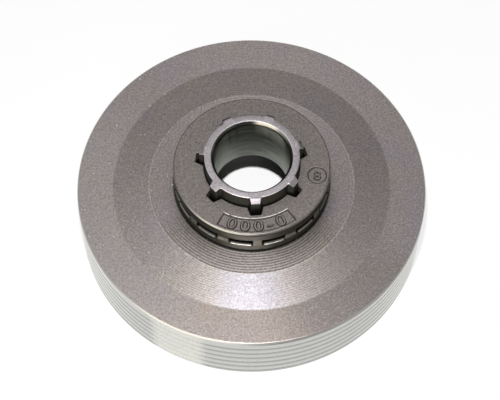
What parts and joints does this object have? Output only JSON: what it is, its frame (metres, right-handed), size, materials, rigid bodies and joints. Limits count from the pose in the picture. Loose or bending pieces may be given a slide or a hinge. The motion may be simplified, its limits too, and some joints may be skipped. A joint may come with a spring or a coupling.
{
  "type": "chainsaw rim sprocket drum",
  "caption": "Turned steel clutch cup with a dished web, a ridged wall and a splined hub that carries a floating rim sprocket for a saw chain.",
  "frame": {"origin": "on the axis, in the plane of the cup's open edge", "axes": "+Z along the axis, from the open edge towards the hub; +X to the right in the picture's view"},
  "size_m": [0.0704, 0.0704, 0.0251],
  "materials": {
    "drum_steel": "turned, satin",
    "hub_steel": "machined",
    "rim_steel": "sintered, oiled"
  },
  "bodies": {
    "drum": {"clutch_drum": "drum_steel", "splined_hub": "hub_steel"},
    "rim": {"rim_sprocket": "rim_steel"}
  },
  "joints": [
    {"name": "rim_float", "type": "slide", "parent": "drum", "child": "rim", "axis": [0, 0, 1], "range_m": [0, 0.0035]}
  ]
}
